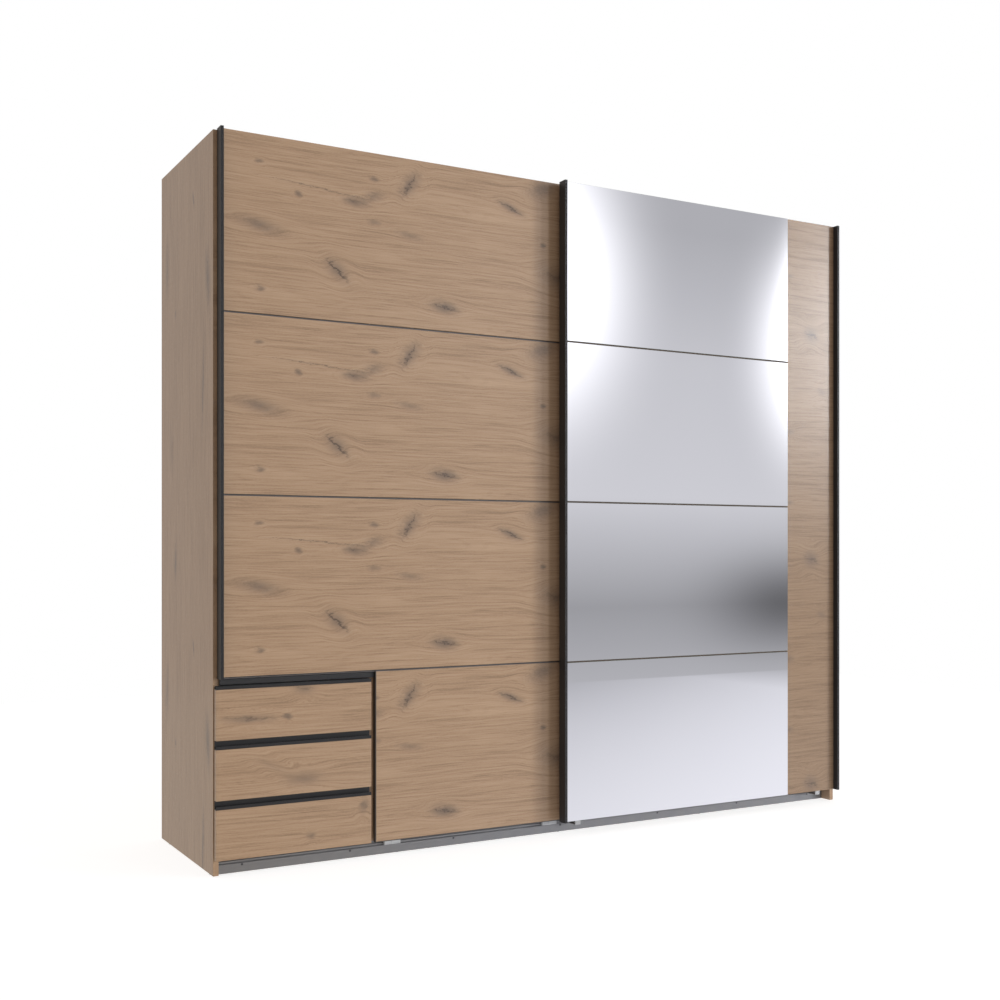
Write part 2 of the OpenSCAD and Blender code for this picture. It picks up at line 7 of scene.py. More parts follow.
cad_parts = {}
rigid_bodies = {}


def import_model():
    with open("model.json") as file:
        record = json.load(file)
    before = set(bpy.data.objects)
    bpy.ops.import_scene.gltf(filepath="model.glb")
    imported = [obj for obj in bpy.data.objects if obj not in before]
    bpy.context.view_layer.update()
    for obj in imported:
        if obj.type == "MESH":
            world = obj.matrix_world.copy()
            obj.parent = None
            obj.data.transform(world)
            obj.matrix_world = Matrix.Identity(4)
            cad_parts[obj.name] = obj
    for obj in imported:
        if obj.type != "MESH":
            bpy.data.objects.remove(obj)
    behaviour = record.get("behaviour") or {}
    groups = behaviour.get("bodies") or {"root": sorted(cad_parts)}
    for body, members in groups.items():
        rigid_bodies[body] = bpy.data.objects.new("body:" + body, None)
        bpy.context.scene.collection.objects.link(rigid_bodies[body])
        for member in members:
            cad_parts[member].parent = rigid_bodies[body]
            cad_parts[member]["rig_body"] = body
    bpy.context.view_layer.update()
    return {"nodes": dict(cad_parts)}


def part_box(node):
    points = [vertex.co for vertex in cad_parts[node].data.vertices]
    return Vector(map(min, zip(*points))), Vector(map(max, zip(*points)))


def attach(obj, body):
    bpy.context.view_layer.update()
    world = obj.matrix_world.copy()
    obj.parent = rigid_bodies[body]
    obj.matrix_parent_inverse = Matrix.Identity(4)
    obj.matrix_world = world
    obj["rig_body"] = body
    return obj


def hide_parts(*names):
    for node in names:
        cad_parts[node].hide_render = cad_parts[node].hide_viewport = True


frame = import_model()


# ---- Side panels ----
# Two 16 mm chipboard panels with a knotty oak decor foil, grain upright. The front edge has a glued
# edge band; the rear and lower edges are left raw. Cam bolts hold the panels to the other boards.

class Shade:
    """One output of a shader tree, so that shader maths is written as Python expressions."""

    def __init__(self, tree, socket=None):
        self.tree, self.socket = tree, socket

    def node(self, kind, settings=None, inputs=None, out=0):
        """Adds a node: its settings first, then the value or link of each socket named."""
        made = self.tree.nodes.new(kind)
        for name, value in (settings or {}).items():
            if name == "stops":
                ramp = made.color_ramp
                while len(ramp.elements) < len(value):
                    ramp.elements.new(0.5)
                for element, (place, colour) in zip(ramp.elements, value):
                    element.position, element.color = place, (*colour, 1)
            else:
                setattr(made, name, value)
        for name, value in (inputs or {}).items():
            if isinstance(value, Shade):
                self.tree.links.new(value.socket, made.inputs[name])
            else:
                made.inputs[name].default_value = value
        return Shade(self.tree, made.outputs[out])

    def math(self, operation, a, b=0.0):
        return self.node("ShaderNodeMath", {"operation": operation}, {0: a, 1: b})

    def __add__(self, other):
        return self.math("ADD", self, other)

    def __sub__(self, other):
        return self.math("SUBTRACT", self, other)

    def __rsub__(self, other):
        return self.math("SUBTRACT", other, self)

    def __neg__(self):
        return self * -1.0

    def __mul__(self, other):
        return self.math("MULTIPLY", self, other)

    def __truediv__(self, other):
        return self.math("DIVIDE", self, other)

    def __mod__(self, other):
        return self.math("FLOORED_MODULO", self, other)

    __radd__, __rmul__ = __add__, __mul__

    def step(self, low, high, bottom=0.0, top=1.0):
        """A soft step from bottom, where the value is low, to top, where it is high."""
        return self.node("ShaderNodeMapRange", {"interpolation_type": "SMOOTHSTEP"},
                         {"Value": self, "From Min": low, "From Max": high, "To Min": bottom, "To Max": top})

    def blend(self, a, b):
        """Colour a where the value is 0, and b where it is 1."""
        return self.node("ShaderNodeMix", {"data_type": "RGBA"}, {0: self, 6: a, 7: b}, out=2)

    def axes(self):
        parts = self.node("ShaderNodeSeparateXYZ", inputs={0: self}).socket.node
        return [Shade(self.tree, parts.outputs[i]) for i in range(3)]

    def vector(self, x, y, z):
        return self.node("ShaderNodeCombineXYZ", inputs={0: x, 1: y, 2: z})

    def noise(self, x, y, z, detail=2.0, roughness=0.5):
        """Fractal noise from 0 to 1, at a place given by three values."""
        return self.node("ShaderNodeTexNoise", inputs={"Vector": self.vector(x, y, z), "Scale": 1.0,
                                                       "Detail": detail, "Roughness": roughness})


def rgb(red, green, blue):
    return (red, green, blue, 1)


def finish_with(name, metallic=0.0, roughness=0.5, bump=None, bump_depth=0.0002, colour=None, **uniform):
    """A material around one Principled shader. Values that are linked may vary over the surface."""
    made = bpy.data.materials.new(name)
    made.use_nodes = True
    shader = made.node_tree.nodes["Principled BSDF"]
    paint = Shade(made.node_tree)
    values = {"Base Color": colour, "Metallic": metallic, "Roughness": roughness, **uniform}
    for socket, value in values.items():
        value = value(paint) if callable(value) else value
        if isinstance(value, Shade):
            made.node_tree.links.new(value.socket, shader.inputs[socket])
        else:
            shader.inputs[socket].default_value = value
    if bump:
        lifted = paint.node("ShaderNodeBump",
                            inputs={"Strength": 1.0, "Distance": bump_depth, "Height": bump(paint)})
        made.node_tree.links.new(lifted.socket, shader.inputs["Normal"])
    return made


def object_place(paint):
    return paint.node("ShaderNodeTexCoord", out=3)


def oak_decor(name, grain, knots, repeat=None, tiled=False, seed=0.0, tone=1.0):
    """Printed oak foil. grain is the axis it runs along, X or Z; on an upright board it runs down from
    a height. knots are (along, across, half length, half width, tilt, depth, crack) in metres."""
    made = bpy.data.materials.new(name)
    made.use_nodes = True
    tree = made.node_tree
    shader = tree.nodes["Principled BSDF"]
    paint = Shade(tree)
    x, y, z = object_place(paint).axes()
    top, pitch = repeat or (0.0, 50.0)
    down = (top - z) % pitch
    if grain == "X":
        along, across, depth = x, down, y
        grain_along, grain_across = x, (down if tiled else z)
    else:
        along, across, depth = down, y, x
        grain_along, grain_across = z, y
    ragged = paint.noise(along * 38 + seed, across * 105, depth * 20, 4.0, 0.66) - 0.5
    slow = paint.noise(grain_along * 0.9 + seed, grain_across * 3.6, 2.0, 2.0) - 0.5
    knot_place = paint.vector(along + ragged * 0.034, 0.0, across + ragged * 0.018)
    marks = paint.vector(slow * 0.04, 0.0, 0.0)      # how far the grain bends, darkness, cracks
    for at, side, half_l, half_w, tilt, strength, cracked in knots:
        local = paint.node("ShaderNodeMapping", {"vector_type": "TEXTURE"},
                           {"Vector": knot_place, "Location": (at, 0, side), "Rotation": (0, -tilt, 0),
                            "Scale": (half_l, 1, half_w)})
        reach = paint.node("ShaderNodeVectorMath", {"operation": "LENGTH"}, {0: local}, out=1)
        _, _, off = local.axes()
        bend = off * reach.step(3.2, 0.4, 0.0, -0.75 * half_w)
        core = reach.step(2.1, 0.0, 0.0, strength)
        crack = 0.0
        if cracked:
            wander = paint.math("ABSOLUTE", off + ragged * 2.4)
            crack = wander.step(0.30, 0.02) * reach.step(1.6, 0.5, 0.0, cracked)
        marks = paint.node("ShaderNodeVectorMath", {"operation": "ADD"},
                           {0: marks, 1: paint.vector(bend, core, crack)})
    bend, dark, split = marks.axes()
    level = grain_across + bend
    calm = grain_across + slow * 0.05
    bands = paint.noise(grain_along * 0.8 + seed, level * 11, seed, 3.0, 0.55)
    streaks = paint.noise(grain_along * 4.5 + seed, level * 150, depth * 2, 4.0, 0.62)
    lines = paint.noise(grain_along * 9 + seed, level * 620, depth * 2, 2.0, 0.6)
    contour = paint.noise(grain_along * 1.1 + seed, level * 9, seed + 5, 2.0, 0.45) * 34 + level * 60
    rings = paint.math("SINE", contour * 6.283).step(0.2, 1.0) * bands.step(0.35, 0.62)
    pores = paint.noise(grain_along * 40, calm * 1250, depth * 40, 2.0, 0.7)
    flecks = paint.noise(grain_along * 150, level * 520, depth * 90, 1.0)
    value = (bands.step(0.2, 0.8) * 0.18 + streaks.step(0.28, 0.74) * 0.34 + lines.step(0.25, 0.75) * 0.26
             + flecks * 0.22 - rings * 0.07)
    # tone darkens the print's wood colours; on the right door's strip it stands for painted shade.
    light, middle, deep = [[c * tone for c in colour] for colour in
                           ((0.450, 0.314, 0.204), (0.365, 0.243, 0.152), (0.232, 0.150, 0.092))]
    wood = paint.node("ShaderNodeValToRGB", {"stops": ((0.12, deep), (0.46, middle), (0.86, light))},
                      {0: value})
    wood = (pores.step(0.44, 0.26) * 0.3).blend(wood, rgb(0.21 * tone, 0.134 * tone, 0.084 * tone))
    feather = dark * (0.25 + streaks * 0.9 + lines * 0.5)
    wood = (feather.step(0.0, 0.8) * 0.55).blend(wood, rgb(0.185, 0.132, 0.096))
    wood = (feather.step(0.45, 1.25) * 0.75).blend(wood, rgb(0.100, 0.080, 0.067))
    wood = (split.step(0.0, 1.0) * 0.65).blend(wood, rgb(0.055, 0.044, 0.037))
    shine = 0.19 + (1.0 - streaks) * 0.09 + pores.step(0.44, 0.26) * 0.1
    lifted = paint.node("ShaderNodeBump", inputs={"Strength": 0.1, "Distance": 0.0001, "Height": pores})
    tree.links.new(wood.socket, shader.inputs["Base Color"])
    tree.links.new(shine.socket, shader.inputs["Roughness"])
    tree.links.new(lifted.socket, shader.inputs["Normal"])
    return made


def knots_on(left, width, height, marks):
    """Knots given as shares of a board's width from its left and of its height from the top."""
    return [(left + share * width, drop * height, *rest) for share, drop, *rest in marks]


def raw_chips(paint):
    """Chipboard as it is sawn: pale and dark chips, coarser towards the core."""
    x, y, z = object_place(paint).axes()
    chips = paint.noise(x * 260, y * 260, z * 110, 4.0, 0.7)
    stops = ((0.3, (0.17, 0.105, 0.055)), (0.52, (0.45, 0.32, 0.19)), (0.75, (0.62, 0.49, 0.33)))
    return paint.node("ShaderNodeValToRGB", {"stops": stops}, {0: chips})


chipboard = finish_with("raw_chipboard", roughness=0.85, colour=raw_chips, bump_depth=0.0006,
                        bump=raw_chips)


def stand_in(piece, node, *materials):
    """The piece takes a CAD node's place: its body and its finish."""
    piece.name = node + "_finished"
    piece.data.name = piece.name
    piece.data.materials.clear()
    for material in materials:
        piece.data.materials.append(material)
    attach(piece, frame["nodes"][node]["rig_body"])
    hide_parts(node)
    return piece


def add_block(low, high):
    """A block between two corners, as the only selected object."""
    bpy.ops.object.select_all(action="DESELECT")
    bpy.ops.mesh.primitive_cube_add(size=1, location=(low + high) / 2)
    block = bpy.context.object
    block.scale = high - low
    bpy.ops.object.transform_apply(location=True, rotation=True, scale=True)
    return block


def ease(piece, width, segments=2):
    """Rounds the sharp edges of a piece and smooths over the rounding, with the large faces kept flat."""
    bpy.ops.object.select_all(action="DESELECT")
    piece.select_set(True)
    bpy.context.view_layer.objects.active = piece
    rounding = piece.modifiers.new("eased edges", "BEVEL")
    rounding.width, rounding.segments, rounding.limit_method = width, segments, "ANGLE"
    rounding.angle_limit = math.radians(40)
    bpy.ops.object.modifier_apply(modifier=rounding.name)
    bpy.ops.object.shade_smooth_by_angle(angle=math.radians(42))
    flat = piece.modifiers.new("flat faces", "WEIGHTED_NORMAL")
    flat.mode, flat.weight, flat.keep_sharp = "FACE_AREA", 100, True
    bpy.ops.object.modifier_apply(modifier=flat.name)
    return piece


def raw_faces(piece, *normals):
    """Gives the faces that look along these normals the piece's second material."""
    for face in piece.data.polygons:
        if any(face.normal.dot(Vector(n)) > 0.99 for n in normals):
            face.material_index = 1


side_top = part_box("left_side_panel")[1].z
side_knots = [
    (0.15, -0.05, 0.022, 0.008, -0.3, 0.8, 0.6), (0.30, 0.25, 0.075, 0.022, 0.05, 0.65, 0.5),
    (0.40, -0.20, 0.070, 0.022, -0.1, 0.85, 0.6), (0.45, 0.15, 0.014, 0.007, 0.0, 0.8, 0),
    (0.70, -0.15, 0.100, 0.012, 0.05, 0.75, 0.8), (0.85, 0.20, 0.060, 0.024, 0.0, 0.5, 0),
    (1.20, 0.15, 0.050, 0.016, 0.05, 0.8, 0.5),
]
side_oak = oak_decor("oak_foil_upright", "Z", side_knots, repeat=(side_top, 1.3), seed=3.0, tone=0.97)
for node in ("left_side_panel", "right_side_panel"):
    panel = ease(add_block(*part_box(node)), 0.0008)
    stand_in(panel, node, side_oak, chipboard)
    raw_faces(panel, (0, 1, 0), (0, 0, -1))


# ---- Inner boards ----
# Partition, top and bottom panels, hat shelves, plinth boards and the drawer unit's side: the same oak
# foil in a plainer cut, banded on the front edges. They are dowelled and bolted between the side panels.

def merged_copy(node):
    """A copy of a CAD node with its triangles merged into whole faces."""
    bpy.ops.object.select_all(action="DESELECT")
    piece = bpy.data.objects.new(node + "_finished", frame["nodes"][node].data.copy())
    bpy.context.scene.collection.objects.link(piece)
    piece.select_set(True)
    bpy.context.view_layer.objects.active = piece
    bpy.ops.object.mode_set(mode="EDIT")
    bpy.ops.mesh.select_all(action="SELECT")
    bpy.ops.mesh.customdata_custom_splitnormals_clear()
    bpy.ops.mesh.remove_doubles(threshold=0.00001)
    bpy.ops.mesh.dissolve_limited(angle_limit=math.radians(1))
    bpy.ops.object.mode_set(mode="OBJECT")
    return piece


shelf_knots = [(-0.7, 0.3, 0.06, 0.02, 0.1, 0.6, 0.5), (0.45, 0.2, 0.03, 0.015, 0.0, 0.7, 0)]
inner_oak_flat = oak_decor("oak_foil_inner_flat", "X", shelf_knots, seed=9.0)
inner_oak_upright = oak_decor("oak_foil_inner_upright", "Z", [(1.1, 0.1, 0.07, 0.02, 0.05, 0.6, 0.5)],
                              repeat=(side_top, 1.4), seed=14.0)
for node, oak in (("centre_partition", inner_oak_upright), ("drawer_unit_side", inner_oak_upright),
                  ("top_panels", inner_oak_flat), ("bottom_panels", inner_oak_flat),
                  ("hat_shelves", inner_oak_flat), ("plinth_boards", inner_oak_flat)):
    boards = ease(merged_copy(node), 0.0005)
    stand_in(boards, node, oak, chipboard)
    raw_faces(boards, (0, 1, 0))


# ---- Back ----
# Four 3 mm hardboard sheets, painted pale inside and plain brown behind, nailed to the boards' rear
# edges. White plastic H strips hold the two sheets of each compartment together.

def hardboard_fibres(paint):
    """Painted face in front, brown pressed fibres behind."""
    x, y, z = object_place(paint).axes()
    fibres = paint.noise(x * 300, y * 300, z * 300, 3.0, 0.65)
    waves = paint.noise(x * 3, 0.0, z * 3, 2.0)
    behind = y.step(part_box("back_panels")[1].y - 0.0014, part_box("back_panels")[1].y - 0.0012)
    brown = (fibres * 0.7 + waves * 0.3).blend(rgb(0.30, 0.19, 0.105), rgb(0.47, 0.33, 0.20))
    painted = fibres.blend(rgb(0.66, 0.63, 0.57), rgb(0.74, 0.71, 0.65))
    return behind.blend(painted, brown)


hardboard = finish_with("hardboard", roughness=0.62, colour=hardboard_fibres, bump_depth=0.0002,
                        bump=lambda p: p.noise(*[axis * 420 for axis in object_place(p).axes()], 2.0))
stand_in(ease(merged_copy("back_panels"), 0.0003, 1), "back_panels", hardboard)


def moulded(paint, scale=900.0):
    """The fine grain of a moulding tool."""
    x, y, z = object_place(paint).axes()
    return paint.noise(x * scale, y * scale, z * scale, 2.0, 0.6)


def plastic(name, red, green, blue, roughness=0.45):
    def cloud(paint):
        x, y, z = object_place(paint).axes()
        return paint.noise(x * 25, y * 25, z * 25, 2.0).blend(
            rgb(red * 0.93, green * 0.93, blue * 0.93), rgb(red * 1.07, green * 1.07, blue * 1.07))

    return finish_with(name, roughness=lambda p: roughness + moulded(p, 300.0) * 0.12, colour=cloud,
                       bump=moulded, bump_depth=0.00008)


white_plastic = plastic("white_plastic", 0.72, 0.71, 0.68)
black_plastic = plastic("black_plastic", 0.022, 0.022, 0.023)
grey_plastic = plastic("grey_plastic", 0.47, 0.48, 0.49, 0.4)
rubber = plastic("rubber", 0.016, 0.016, 0.017, 0.75)
stand_in(ease(merged_copy("back_joiners"), 0.0002, 1), "back_joiners", white_plastic)


def metal(name, red, green, blue, roughness, along="X", metallic=1.0, spangle=0.0):
    """Drawn, plated or coated metal with fine lines along one axis."""
    def lines(paint):
        x, y, z = object_place(paint).axes()
        if along == "X":
            return paint.noise(x * 6, y * 1500, z * 1500, 2.0, 0.7)
        return paint.noise(x * 1500, y * 1500, z * 6, 2.0, 0.7)

    def colour(paint):
        x, y, z = object_place(paint).axes()
        patches = paint.noise(x * 70, y * 70, z * 70, 2.0, 0.4) * spangle + lines(paint) * 0.12
        return patches.blend(rgb(red, green, blue), rgb(red * 0.6, green * 0.6, blue * 0.62))

    return finish_with(name, metallic=metallic, roughness=lambda p: roughness + lines(p) * 0.12,
                       colour=colour, bump=lines, bump_depth=0.00003)


aluminium = metal("anodised_aluminium", 0.27, 0.27, 0.275, 0.42)
zinc = metal("zinc_plated_steel", 0.56, 0.56, 0.55, 0.32, "Z", spangle=0.5)
chrome = metal("chrome", 0.72, 0.73, 0.74, 0.06)
white_steel = metal("white_coated_steel", 0.74, 0.74, 0.72, 0.4, metallic=0.0)


# Nails along the edges of the sheets, about 170 mm apart: flat zinc heads with a faint dome.
def nail_head():
    bpy.ops.object.select_all(action="DESELECT")
    bpy.ops.mesh.primitive_cylinder_add(vertices=12, radius=0.0022, depth=0.0006,
                                        rotation=(math.radians(90), 0, 0), end_fill_type="NGON")
    head = bpy.context.object
    bpy.ops.object.transform_apply(location=True, rotation=True, scale=True)
    return ease(head, 0.0002, 1)


sheets_low, sheets_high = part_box("back_panels")
first = nail_head()
nails_in_line = 13
nail_pitch = 0.17
nail_inset = 0.008
outer_line = 1.1165
nails = []
for x in (-outer_line, -nail_inset, nail_inset, outer_line):
    for row in range(nails_in_line):
        z = sheets_low.z + 0.04 + row * (sheets_high.z - sheets_low.z - 0.05) / (nails_in_line - 1)
        nails.append((x, z))
for x in [-1.02 + nail_pitch * i for i in range(nails_in_line)]:
    nails += [(x, sheets_high.z - nail_inset), (x, sheets_low.z + nail_inset)]
heads = []
for x, z in nails:
    head = first.copy()
    head.data = first.data.copy()
    bpy.context.scene.collection.objects.link(head)
    head.data.transform(Matrix.Translation((x, sheets_high.y + 0.0002, z)))
    heads.append(head)
bpy.data.objects.remove(first)
bpy.ops.object.select_all(action="DESELECT")
for head in heads:
    head.select_set(True)
bpy.context.view_layer.objects.active = heads[0]
bpy.ops.object.join()
heads[0].name = "back_nails"
heads[0].data.materials.append(zinc)
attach(heads[0], "carcass")


# ---- Hanging space ----
# Round steel clothes rails, chromed, in cup sockets screwed to the uprights, under the hat shelves.
# The shelves lie on zinc-plated steel supports plugged into the uprights.

def paint_node(node, material):
    """Keeps the CAD node's own shape and gives it a finish."""
    mesh = frame["nodes"][node].data
    mesh.materials.clear()
    mesh.materials.append(material)


paint_node("clothes_rails", chrome)
paint_node("rail_sockets", chrome)
paint_node("shelf_pins", zinc)


# ---- Track ----
# A double aluminium running track screwed along the front of the top panels, with rubber stops at its
# ends. Two zinc-plated angles at the back fasten the wardrobe to the wall.

stand_in(ease(merged_copy("top_track"), 0.0003, 1), "top_track", aluminium)
stand_in(ease(merged_copy("track_buffers"), 0.0015), "track_buffers", rubber)
paint_node("wall_brackets", zinc)


# ---- Floor rail and feet ----
# A flat anodised aluminium rail on the plinth's face. It has one groove for each door's guides, a step
# at its foot and seven countersunk screws. Nailed plastic glides carry the boards above the floor.

stand_in(ease(merged_copy("bottom_rail"), 0.0003, 1), "bottom_rail", aluminium)
paint_node("rail_screws", metal("blackened_steel", 0.09, 0.09, 0.10, 0.4))
paint_node("floor_glides", black_plastic)


# ---- Drawer unit ----
# The top board over the drawers has a black decor, since its front edge shows above the upper finger
# gap. The cabinet runners are white-coated steel channels, each with one roller at its mouth.

def powder(paint):
    x, y, z = object_place(paint).axes()
    return paint.noise(x * 1600, y * 1600, z * 1600, 2.0, 0.55)


def powder_black(paint):
    x, y, z = object_place(paint).axes()
    return (powder(paint) * 0.6 + paint.noise(x * 5, y * 5, z * 5, 2.0) * 0.4).blend(
        rgb(0.018, 0.018, 0.019), rgb(0.036, 0.036, 0.038))


black_coat = finish_with("black_powder_coat", metallic=0.35, roughness=lambda p: 0.34 + powder(p) * 0.14,
                         colour=powder_black, bump=powder, bump_depth=0.00005)
black_foil = finish_with("black_decor_foil", roughness=lambda p: 0.38 + powder(p) * 0.1, colour=powder_black,
                         bump=powder, bump_depth=0.00003)
stand_in(ease(add_block(*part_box("drawer_unit_top")), 0.0008), "drawer_unit_top", black_foil)
paint_node("cabinet_runners", white_steel)


# ---- Left door ----
# Four panels of 16 mm board with knotty oak foil, the grain lying. Each shows the same print. The lowest
# panel is short, to leave room for the drawers. A black grip profile edges the three upper panels.

door_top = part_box("left_door_panel_1")[1].z
panel_pitch = door_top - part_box("left_door_panel_2")[1].z
panel_low, panel_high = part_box("left_door_panel_1")
door_knots = knots_on(panel_low.x, panel_high.x - panel_low.x, panel_pitch, [
    (0.10, 0.15, 0.012, 0.007, 0.0, 0.8, 0), (0.25, 0.25, 0.130, 0.004, 0.08, 0.4, 1.0),
    (0.20, 0.30, 0.011, 0.008, 0.2, 0.9, 0), (0.35, 0.30, 0.034, 0.012, 0.05, 0.9, 0.5),
    (0.40, 0.15, 0.012, 0.007, 0.0, 0.9, 0), (0.40, 0.25, 0.028, 0.014, -0.3, 0.7, 0.3),
    (0.50, 0.15, 0.040, 0.020, -0.9, 0.85, 0.8), (0.40, 0.40, 0.018, 0.008, 0.0, 0.75, 0),
    (0.10, 0.50, 0.062, 0.018, 0.2, 0.75, 0.3), (0.50, 0.45, 0.034, 0.010, 0.1, 0.7, 0.2),
    (0.80, 0.20, 0.040, 0.012, 0.35, 0.85, 0.8), (0.90, 0.05, 0.055, 0.026, -0.35, 0.75, 0.3),
    (0.90, 0.40, 0.010, 0.007, 0.0, 0.95, 0), (0.30, 0.70, 0.040, 0.022, 0.7, 0.75, 0.9),
    (0.95, 0.60, 0.060, 0.034, 0.3, 0.7, 0.4), (0.60, 0.85, 0.042, 0.018, 0.1, 0.95, 0.7),
    (0.10, 0.85, 0.013, 0.008, 0.0, 0.8, 0),
])
door_oak = oak_decor("oak_foil_left_door", "X", door_knots, repeat=(door_top, panel_pitch), tiled=True,
                     seed=1.0)
for i in range(1, 5):
    node = f"left_door_panel_{i}"
    stand_in(ease(add_block(*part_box(node)), 0.0006), node, door_oak)

# Aluminium strips lie between the panels and edge the lowest one; an aluminium profile closes the edge
# that runs behind the other door.
profile_grey = metal("grey_aluminium", 0.17, 0.16, 0.155, 0.45)
for node in ("left_door_profiles", "left_door_stile"):
    stand_in(ease(merged_copy(node), 0.0002, 1), node, profile_grey)


def grip_bar(low, high, web_back, left=True):
    """A hollow black bar, 1.5 mm thick, with a web that laps the leaf's edge, and a pocket in each end for a
    plug.
    """
    wall = 0.0015
    bar = add_block(low, Vector((high.x, web_back[0], high.z)))
    bpy.ops.object.mode_set(mode="EDIT")
    bpy.ops.mesh.select_mode(type="FACE")
    bpy.ops.mesh.select_all(action="DESELECT")
    bpy.ops.object.mode_set(mode="OBJECT")
    for face in bar.data.polygons:
        face.select = abs(face.normal.z) > 0.9
    bpy.ops.object.mode_set(mode="EDIT")
    bpy.ops.mesh.inset(thickness=wall)
    bpy.ops.mesh.extrude_region_move(TRANSFORM_OT_translate={"value": (0, 0, 0)})
    bpy.ops.object.mode_set(mode="OBJECT")
    sink = 0.004
    for face in bar.data.polygons:
        if face.select:
            deeper = -sink if face.normal.z > 0 else sink
            for v in face.vertices:
                bar.data.vertices[v].co.z = (high.z if face.normal.z > 0 else low.z) + deeper
    web_x = (low.x, low.x + wall) if left else (high.x - wall, high.x)
    web = add_block(Vector((web_x[0], web_back[0] - 0.0002, low.z)), Vector((web_x[1], web_back[1], high.z)))
    bpy.ops.object.select_all(action="DESELECT")
    web.select_set(True)
    bar.select_set(True)
    bpy.context.view_layer.objects.active = bar
    bpy.ops.object.join()
    return ease(bar, 0.0004)


def end_plug(low, high, up):
    """A plastic plug sunk into the end of a grip bar."""
    wall = 0.0016
    end = high.z if up else low.z
    inner = 0.0039 if up else -0.0039
    a = Vector((low.x + wall, low.y + wall, min(end - inner, end - inner * 0.12)))
    b = Vector((high.x - wall, high.y - wall, max(end - inner, end - inner * 0.12)))
    return ease(add_block(a, b), 0.0005)


def fit_grips(node, body, bars):
    """Builds the bars of one node, and their plugs as one piece."""
    made, plugs = [], []
    for low, high, web_back, left in bars:
        made.append(grip_bar(low, high, web_back, left))
        front = Vector((high.x, web_back[0], high.z))
        plugs += [end_plug(low, front, True), end_plug(low, front, False)]
    for group in (made, plugs):
        bpy.ops.object.select_all(action="DESELECT")
        for piece in group:
            piece.select_set(True)
        bpy.context.view_layer.objects.active = group[0]
        if len(group) > 1:
            bpy.ops.object.join()
    stand_in(made[0], node, black_coat)
    plugs[0].name = node + "_end_plugs"
    plugs[0].data.materials.append(black_plastic)
    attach(plugs[0], body)


grip_low, grip_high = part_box("left_door_grip")
leaf_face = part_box("left_door_panel_1")[0].y
fit_grips("left_door_grip", "left_door", [(grip_low, grip_high, (leaf_face, grip_high.y), True)])

# Steel hangers with track wheels carry the door; two grey plastic guides under it run in the floor rail.
paint_node("left_door_hangers", zinc)
paint_node("left_door_wheel_1", black_plastic)
paint_node("left_door_wheel_2", black_plastic)
stand_in(ease(merged_copy("left_door_guides"), 0.0004, 1), "left_door_guides", grey_plastic)


# ---- Right door ----
# One 16 mm leaf with the same oak foil, which shows as a strip at the right; its print is darkened to three
# quarters as painted shade. Four 4 mm silvered mirrors with ground edges are glued to it, 5 mm apart. A
# black grip profile runs down each edge.

strip_knots = [(1.00, 0.40, 0.030, 0.026, 0.3, 0.8, 0.7), (0.90, 0.20, 0.020, 0.008, 0.1, 0.7, 0),
               (0.90, 0.75, 0.022, 0.012, 0.0, 0.6, 0.3), (1.05, 0.60, 0.02, 0.014, 0.2, 0.6, 0)]
# The strip's oak is given tone 0.75: painted shade, darker than the same foil on the left door.
strip_oak_painted_shade = oak_decor("oak_foil_right_door_painted_shade", "X", strip_knots, repeat=(door_top, 0.8), seed=6.0, tone=0.75)
stand_in(ease(add_block(*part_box("right_door_leaf")), 0.0006), "right_door_leaf", strip_oak_painted_shade)


def silver_haze(paint):
    x, y, z = object_place(paint).axes()
    return paint.noise(x * 4, y * 4, z * 4, 3.0)


def silver(paint):
    return silver_haze(paint).blend(rgb(0.915, 0.915, 0.955), rgb(0.935, 0.935, 0.965))


def ground_glass(paint):
    return moulded(paint, 500.0).blend(rgb(0.30, 0.36, 0.34), rgb(0.42, 0.48, 0.46))


silvered = finish_with("silvered_glass", metallic=1.0, colour=silver,
                       roughness=lambda p: 0.012 + silver_haze(p) * 0.012)
glass_edge = finish_with("ground_glass_edge", metallic=0.2, colour=ground_glass,
                         roughness=lambda p: 0.3 + moulded(p) * 0.2)
for i in range(1, 5):
    node = f"right_door_mirror_{i}"
    mirror = ease(add_block(*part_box(node)), 0.0005, 1)
    stand_in(mirror, node, glass_edge, silvered)
    raw_faces(mirror, (0, -1, 0))

# A dark strip on the leaf closes each joint between two mirrors.
joint_dark = plastic("dark_joint_strip", 0.085, 0.060, 0.045, 0.5)
strips = []
for i in range(1, 4):
    above_low, above_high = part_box(f"right_door_mirror_{i}")
    below_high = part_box(f"right_door_mirror_{i + 1}")[1]
    strips.append(add_block(Vector((above_low.x, above_high.y - 0.0008, below_high.z)),
                            Vector((above_high.x, above_high.y, above_low.z))))
bpy.ops.object.select_all(action="DESELECT")
for strip in strips:
    strip.select_set(True)
bpy.context.view_layer.objects.active = strips[0]
bpy.ops.object.join()
strips[0].name = "right_door_joint_strips"
strips[0].data.materials.append(joint_dark)
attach(strips[0], "right_door")

grip_low, grip_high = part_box("right_door_grips")
leaf_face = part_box("right_door_leaf")[0].y
bar_w = 0.009
fit_grips("right_door_grips", "right_door", [
    (grip_low, Vector((grip_low.x + bar_w, grip_high.y, grip_high.z)), (leaf_face, grip_high.y), True),
    (Vector((grip_high.x - bar_w, grip_low.y, grip_low.z)), grip_high, (leaf_face, grip_high.y), False)])
for node in ("right_door_hangers", "right_door_guides"):
    paint_node(node, zinc)
paint_node("right_door_wheel_1", black_plastic)
paint_node("right_door_wheel_2", black_plastic)


# ---- Drawers ----
# Three oak-foil fronts with black aluminium grip profiles let into their upper edges. The boxes are pale
# foiled board with a hardboard bottom in a groove, on white-coated steel runners with nylon rollers.

